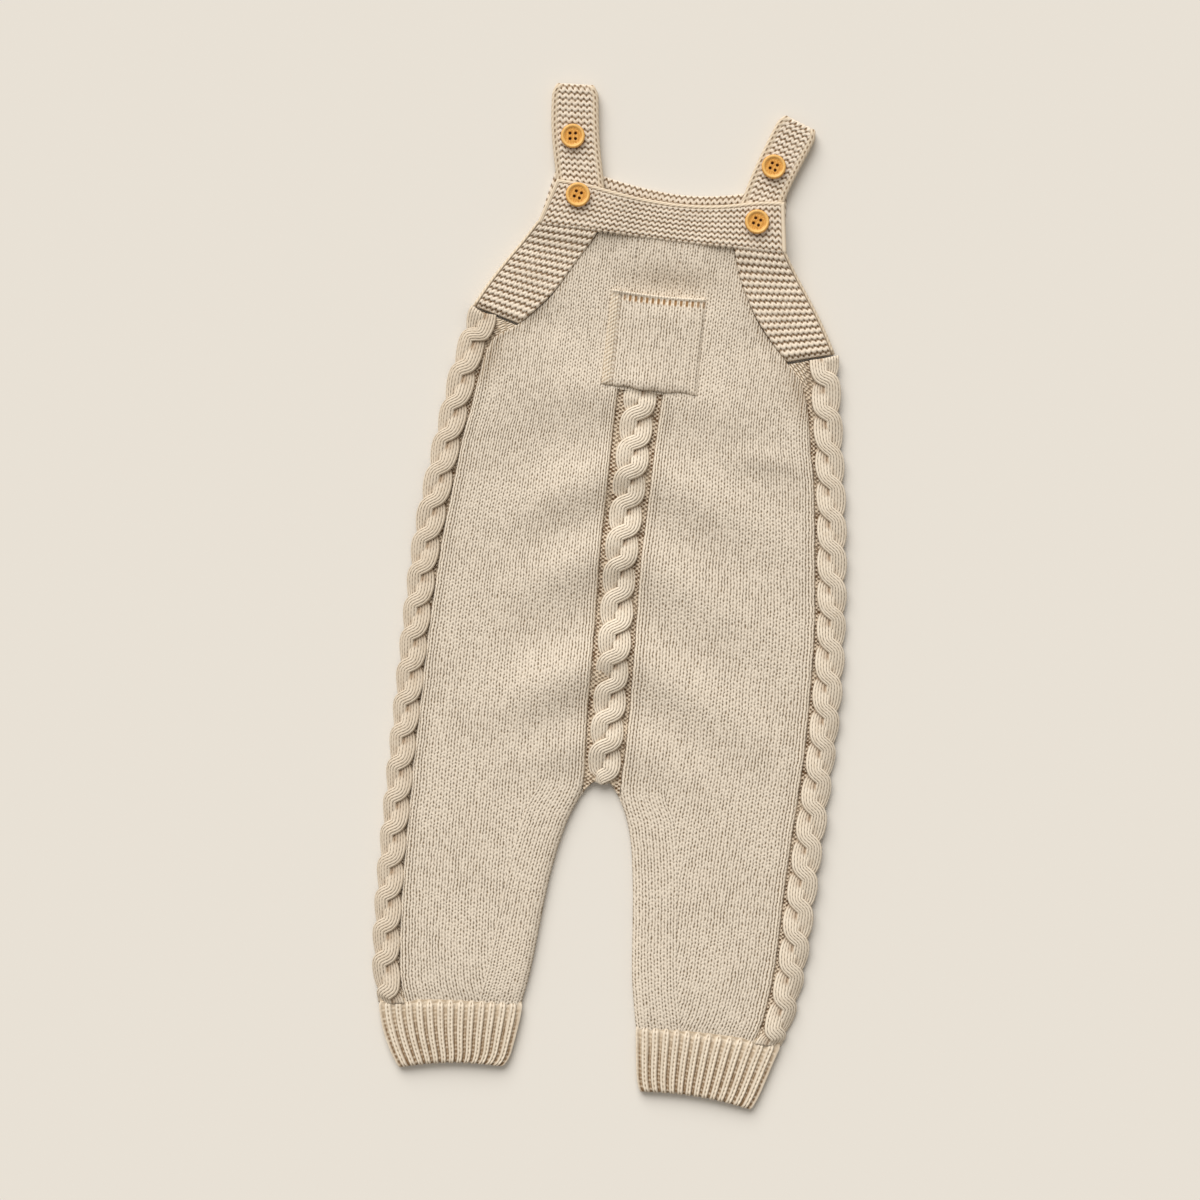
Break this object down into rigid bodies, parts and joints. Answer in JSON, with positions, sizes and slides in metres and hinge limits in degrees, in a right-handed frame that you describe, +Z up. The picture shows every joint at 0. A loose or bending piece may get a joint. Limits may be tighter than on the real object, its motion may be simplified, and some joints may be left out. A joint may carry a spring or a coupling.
{
  "type": "knitted baby dungarees",
  "caption": "Baby's cable-knit dungarees laid flat: bib with patch pocket, buttoned shoulder straps, cabled front and sides, ribbed cuffs.",
  "frame": {"origin": "middle of the garment's footprint, on the surface it lies on", "axes": "+Z up off the surface, +Y from the hems towards the shoulder straps, +X across the garment to the viewer's right as its front is seen"},
  "size_m": [0.2302, 0.5176, 0.0121],
  "materials": {
    "plain_knit": "matt wool in stocking stitch",
    "cable_knit": "matt wool in cables on a purl ground",
    "garter_knit": "matt wool in garter stitch",
    "rib_knit": "matt wool in single rib",
    "button_wood": "turned light wood, satin"
  },
  "bodies": {
    "root": {"front_left": "plain_knit", "front_right": "plain_knit", "back_left": "plain_knit", "back_right": "plain_knit", "pocket": "plain_knit", "front_centre_cable": "cable_knit", "side_cable_left": "cable_knit", "side_cable_right": "cable_knit", "bib_band": "garter_knit", "back_neck_band": "garter_knit", "armhole_front_left": "garter_knit", "armhole_front_right": "garter_knit", "armhole_back_left": "garter_knit", "armhole_back_right": "garter_knit", "strap_left": "garter_knit", "strap_right": "garter_knit", "cuff_left": "rib_knit", "cuff_right": "rib_knit", "button_left_upper": "button_wood", "button_left_lower": "button_wood", "button_right_upper": "button_wood", "button_right_lower": "button_wood"}
  },
  "joints": []
}
